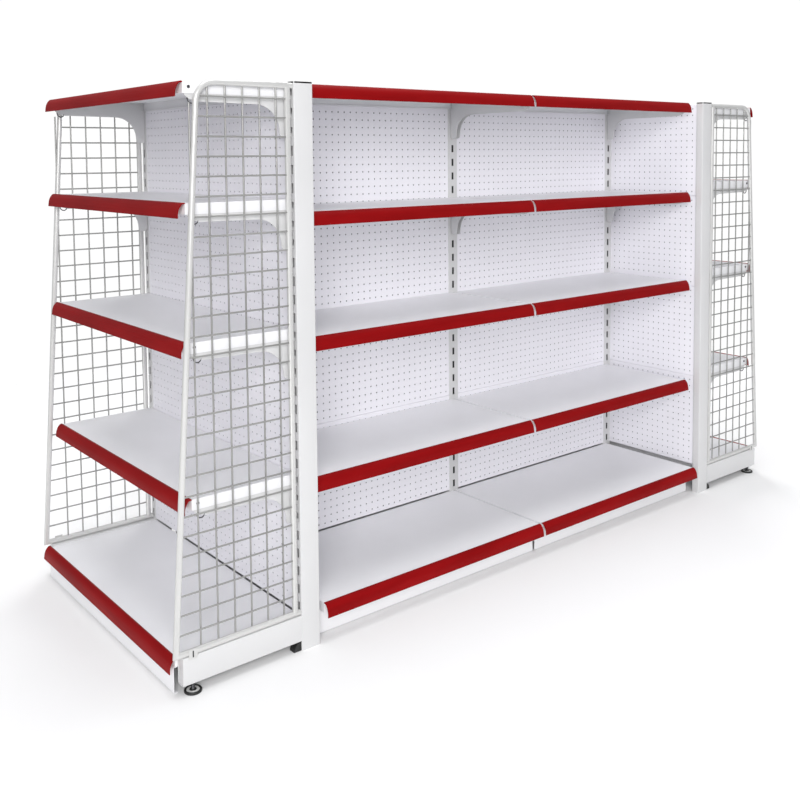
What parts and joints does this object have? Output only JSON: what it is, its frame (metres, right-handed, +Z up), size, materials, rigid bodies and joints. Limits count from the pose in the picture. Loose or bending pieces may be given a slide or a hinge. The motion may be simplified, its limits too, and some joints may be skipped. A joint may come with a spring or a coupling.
{
  "type": "gondola shelving unit",
  "caption": "Double-sided gondola shelving run with shelving end caps, wire side grids, white decks, perforated backs, kick plates and red price strips.",
  "frame": {"origin": "on the floor, under the middle of the run: centre of the bounding box's bottom face", "axes": "+X along the run towards the right-hand end cap, +Y from the front side to the rear side, +Z up"},
  "size_m": [2.724, 0.968, 1.556],
  "materials": {
    "white_powder_coat": "satin",
    "red_price_strip": "gloss",
    "grey_wire_coat": "satin",
    "zinc_hardware": "satin",
    "black_foot_plastic": "matte"
  },
  "bodies": {
    "gondola_frame": {"upright_left": "white_powder_coat", "upright_middle": "white_powder_coat", "upright_right": "white_powder_coat", "end_column_left_front": "white_powder_coat", "end_column_left_rear": "white_powder_coat", "end_column_right_front": "white_powder_coat", "end_column_right_rear": "white_powder_coat", "side_grid_left_front": "grey_wire_coat", "side_grid_left_rear": "grey_wire_coat", "side_grid_right_front": "grey_wire_coat", "side_grid_right_rear": "grey_wire_coat", "back_panel_front_left": "white_powder_coat", "back_panel_front_right": "white_powder_coat", "back_panel_rear_left": "white_powder_coat", "back_panel_rear_right": "white_powder_coat", "back_panel_end_left": "white_powder_coat", "back_panel_end_right": "white_powder_coat", "inner_panel_end_left": "white_powder_coat", "inner_panel_end_right": "white_powder_coat", "base_deck_front_left": "white_powder_coat", "base_deck_front_right": "white_powder_coat", "base_deck_rear_left": "white_powder_coat", "base_deck_rear_right": "white_powder_coat", "base_deck_end_left": "white_powder_coat", "base_deck_end_right": "white_powder_coat", "kick_plate_front_left": "white_powder_coat", "kick_plate_front_right": "white_powder_coat", "kick_plate_rear_left": "white_powder_coat", "kick_plate_rear_right": "white_powder_coat", "kick_plate_end_left": "white_powder_coat", "kick_plate_end_right": "white_powder_coat"},
    "shelf_front_left_1": {"shelf_front_left_1": "white_powder_coat"},
    "shelf_front_left_2": {"shelf_front_left_2": "white_powder_coat"},
    "shelf_front_left_3": {"shelf_front_left_3": "white_powder_coat"},
    "shelf_front_left_4": {"shelf_front_left_4": "white_powder_coat"},
    "shelf_front_right_1": {"shelf_front_right_1": "white_powder_coat"},
    "shelf_front_right_2": {"shelf_front_right_2": "white_powder_coat"},
    "shelf_front_right_3": {"shelf_front_right_3": "white_powder_coat"},
    "shelf_front_right_4": {"shelf_front_right_4": "white_powder_coat"},
    "shelf_rear_left_1": {"shelf_rear_left_1": "white_powder_coat"},
    "shelf_rear_left_2": {"shelf_rear_left_2": "white_powder_coat"},
    "shelf_rear_left_3": {"shelf_rear_left_3": "white_powder_coat"},
    "shelf_rear_left_4": {"shelf_rear_left_4": "white_powder_coat"},
    "shelf_rear_right_1": {"shelf_rear_right_1": "white_powder_coat"},
    "shelf_rear_right_2": {"shelf_rear_right_2": "white_powder_coat"},
    "shelf_rear_right_3": {"shelf_rear_right_3": "white_powder_coat"},
    "shelf_rear_right_4": {"shelf_rear_right_4": "white_powder_coat"},
    "shelf_end_left_1": {"shelf_end_left_1": "white_powder_coat"},
    "shelf_end_left_2": {"shelf_end_left_2": "white_powder_coat"},
    "shelf_end_left_3": {"shelf_end_left_3": "white_powder_coat"},
    "shelf_end_left_4": {"shelf_end_left_4": "white_powder_coat"},
    "shelf_end_right_1": {"shelf_end_right_1": "white_powder_coat"},
    "shelf_end_right_2": {"shelf_end_right_2": "white_powder_coat"},
    "shelf_end_right_3": {"shelf_end_right_3": "white_powder_coat"},
    "shelf_end_right_4": {"shelf_end_right_4": "white_powder_coat"},
    "foot_left_front": {"foot_left_front": "black_foot_plastic"},
    "foot_left_rear": {"foot_left_rear": "black_foot_plastic"},
    "foot_right_front": {"foot_right_front": "black_foot_plastic"},
    "foot_right_rear": {"foot_right_rear": "black_foot_plastic"}
  },
  "joints": [
    {"name": "shelf_front_left_1_lift", "type": "slide", "parent": "gondola_frame", "child": "shelf_front_left_1", "axis": [0, 0, 1], "range_m": [0, 0.014]},
    {"name": "shelf_front_left_2_lift", "type": "slide", "parent": "gondola_frame", "child": "shelf_front_left_2", "axis": [0, 0, 1], "range_m": [0, 0.014]},
    {"name": "shelf_front_left_3_lift", "type": "slide", "parent": "gondola_frame", "child": "shelf_front_left_3", "axis": [0, 0, 1], "range_m": [0, 0.014]},
    {"name": "shelf_front_left_4_lift", "type": "slide", "parent": "gondola_frame", "child": "shelf_front_left_4", "axis": [0, 0, 1], "range_m": [0, 0.014]},
    {"name": "shelf_front_right_1_lift", "type": "slide", "parent": "gondola_frame", "child": "shelf_front_right_1", "axis": [0, 0, 1], "range_m": [0, 0.014]},
    {"name": "shelf_front_right_2_lift", "type": "slide", "parent": "gondola_frame", "child": "shelf_front_right_2", "axis": [0, 0, 1], "range_m": [0, 0.014]},
    {"name": "shelf_front_right_3_lift", "type": "slide", "parent": "gondola_frame", "child": "shelf_front_right_3", "axis": [0, 0, 1], "range_m": [0, 0.014]},
    {"name": "shelf_front_right_4_lift", "type": "slide", "parent": "gondola_frame", "child": "shelf_front_right_4", "axis": [0, 0, 1], "range_m": [0, 0.014]},
    {"name": "shelf_rear_left_1_lift", "type": "slide", "parent": "gondola_frame", "child": "shelf_rear_left_1", "axis": [0, 0, 1], "range_m": [0, 0.014]},
    {"name": "shelf_rear_left_2_lift", "type": "slide", "parent": "gondola_frame", "child": "shelf_rear_left_2", "axis": [0, 0, 1], "range_m": [0, 0.014]},
    {"name": "shelf_rear_left_3_lift", "type": "slide", "parent": "gondola_frame", "child": "shelf_rear_left_3", "axis": [0, 0, 1], "range_m": [0, 0.014]},
    {"name": "shelf_rear_left_4_lift", "type": "slide", "parent": "gondola_frame", "child": "shelf_rear_left_4", "axis": [0, 0, 1], "range_m": [0, 0.014]},
    {"name": "shelf_rear_right_1_lift", "type": "slide", "parent": "gondola_frame", "child": "shelf_rear_right_1", "axis": [0, 0, 1], "range_m": [0, 0.014]},
    {"name": "shelf_rear_right_2_lift", "type": "slide", "parent": "gondola_frame", "child": "shelf_rear_right_2", "axis": [0, 0, 1], "range_m": [0, 0.014]},
    {"name": "shelf_rear_right_3_lift", "type": "slide", "parent": "gondola_frame", "child": "shelf_rear_right_3", "axis": [0, 0, 1], "range_m": [0, 0.014]},
    {"name": "shelf_rear_right_4_lift", "type": "slide", "parent": "gondola_frame", "child": "shelf_rear_right_4", "axis": [0, 0, 1], "range_m": [0, 0.014]},
    {"name": "shelf_end_left_1_lift", "type": "slide", "parent": "gondola_frame", "child": "shelf_end_left_1", "axis": [0, 0, 1], "range_m": [0, 0.014]},
    {"name": "shelf_end_left_2_lift", "type": "slide", "parent": "gondola_frame", "child": "shelf_end_left_2", "axis": [0, 0, 1], "range_m": [0, 0.014]},
    {"name": "shelf_end_left_3_lift", "type": "slide", "parent": "gondola_frame", "child": "shelf_end_left_3", "axis": [0, 0, 1], "range_m": [0, 0.014]},
    {"name": "shelf_end_left_4_lift", "type": "slide", "parent": "gondola_frame", "child": "shelf_end_left_4", "axis": [0, 0, 1], "range_m": [0, 0.014]},
    {"name": "shelf_end_right_1_lift", "type": "slide", "parent": "gondola_frame", "child": "shelf_end_right_1", "axis": [0, 0, 1], "range_m": [0, 0.014]},
    {"name": "shelf_end_right_2_lift", "type": "slide", "parent": "gondola_frame", "child": "shelf_end_right_2", "axis": [0, 0, 1], "range_m": [0, 0.014]},
    {"name": "shelf_end_right_3_lift", "type": "slide", "parent": "gondola_frame", "child": "shelf_end_right_3", "axis": [0, 0, 1], "range_m": [0, 0.014]},
    {"name": "shelf_end_right_4_lift", "type": "slide", "parent": "gondola_frame", "child": "shelf_end_right_4", "axis": [0, 0, 1], "range_m": [0, 0.014]},
    {"name": "foot_left_front_screw", "type": "slide", "parent": "gondola_frame", "child": "foot_left_front", "axis": [0, 0, 1], "range_m": [0, 0.019]},
    {"name": "foot_left_rear_screw", "type": "slide", "parent": "gondola_frame", "child": "foot_left_rear", "axis": [0, 0, 1], "range_m": [0, 0.019]},
    {"name": "foot_right_front_screw", "type": "slide", "parent": "gondola_frame", "child": "foot_right_front", "axis": [0, 0, 1], "range_m": [0, 0.019]},
    {"name": "foot_right_rear_screw", "type": "slide", "parent": "gondola_frame", "child": "foot_right_rear", "axis": [0, 0, 1], "range_m": [0, 0.019]}
  ]
}
